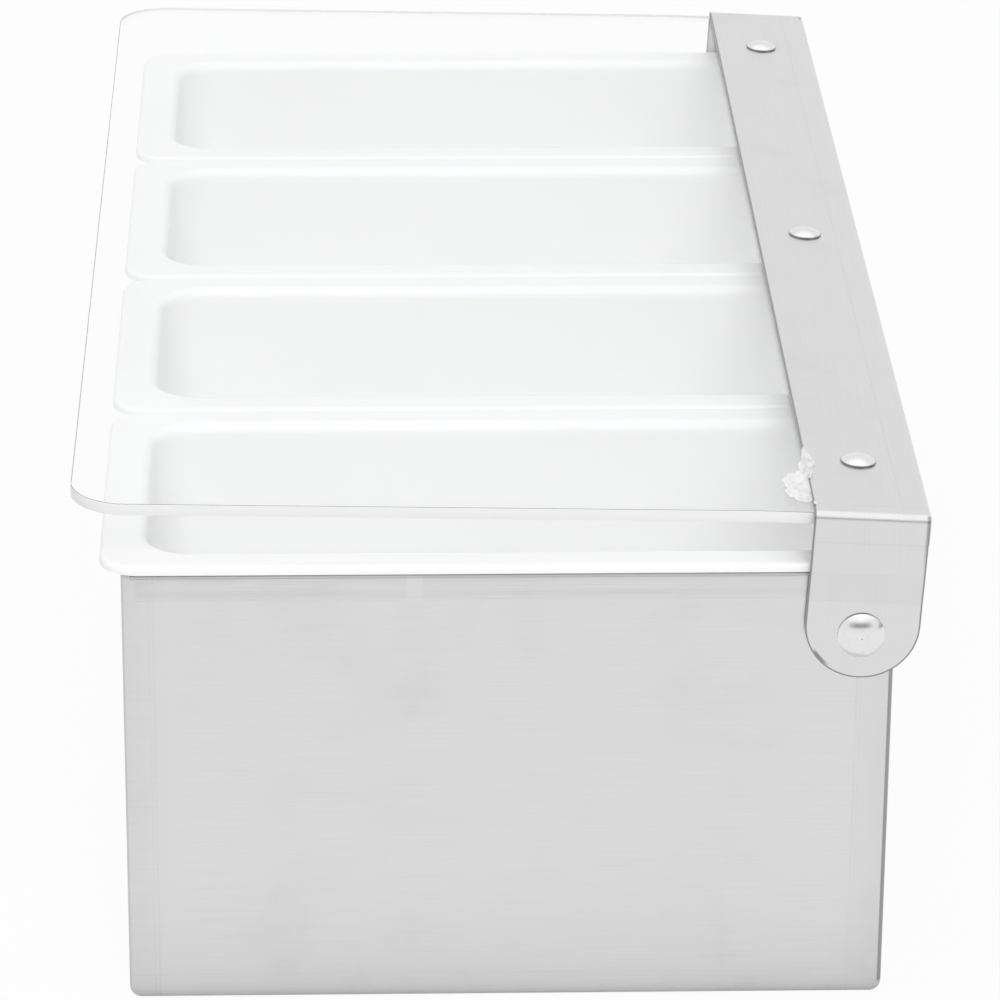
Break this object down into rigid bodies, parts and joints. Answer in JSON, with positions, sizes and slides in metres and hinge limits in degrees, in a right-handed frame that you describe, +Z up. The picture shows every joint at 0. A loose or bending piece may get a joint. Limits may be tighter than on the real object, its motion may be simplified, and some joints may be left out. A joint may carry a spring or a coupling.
{
  "type": "bar garnish tray",
  "caption": "Folded steel garnish box with lift-out white tubs in a row under a clear flat lid riveted to a steel strip that turns on two ears.",
  "frame": {"origin": "middle of the flat underside of the box", "axes": "+X from the front edge to the hinge, +Y along the length, +Z up"},
  "size_m": [0.1681, 0.3124, 0.1093],
  "materials": {
    "box_steel": "fine brushed sheet with faint press marks",
    "hinge_steel": "fine brushed sheet",
    "clear_acrylic": "clear, polished, frosted cut edges",
    "white_tub": "white, satin",
    "rivet_metal": "polished domes",
    "washer_metal": "plain"
  },
  "bodies": {
    "box": {"body_channel": "box_steel", "end_cap_near": "box_steel", "end_cap_far": "box_steel", "pivot_rivet_near": "rivet_metal", "pivot_rivet_far": "rivet_metal", "pivot_washer_near": "washer_metal", "pivot_washer_far": "washer_metal", "burr_washer_near": "washer_metal", "burr_washer_far": "washer_metal"},
    "lid": {"hinge_bracket": "hinge_steel", "clear_lid": "clear_acrylic", "lid_rivet_near": "rivet_metal", "lid_rivet_middle": "rivet_metal", "lid_rivet_far": "rivet_metal", "lid_washer_near": "washer_metal", "lid_washer_middle": "washer_metal", "lid_washer_far": "washer_metal"},
    "tub_1": {"garnish_tub_1": "white_tub"},
    "tub_2": {"garnish_tub_2": "white_tub"},
    "tub_3": {"garnish_tub_3": "white_tub"},
    "tub_4": {"garnish_tub_4": "white_tub"}
  },
  "joints": [
    {"name": "lid_hinge", "type": "hinge", "parent": "box", "child": "lid", "pos_m": [0.0691, 0, 0.0809], "axis": [0, 1, 0], "range_deg": [-4, 126]},
    {"name": "tub_1_lift", "type": "slide", "parent": "box", "child": "tub_1", "axis": [0, 0, 1], "range_m": [0, 0.005]},
    {"name": "tub_2_lift", "type": "slide", "parent": "box", "child": "tub_2", "axis": [0, 0, 1], "range_m": [0, 0.005]},
    {"name": "tub_3_lift", "type": "slide", "parent": "box", "child": "tub_3", "axis": [0, 0, 1], "range_m": [0, 0.005]},
    {"name": "tub_4_lift", "type": "slide", "parent": "box", "child": "tub_4", "axis": [0, 0, 1], "range_m": [0, 0.005]}
  ]
}
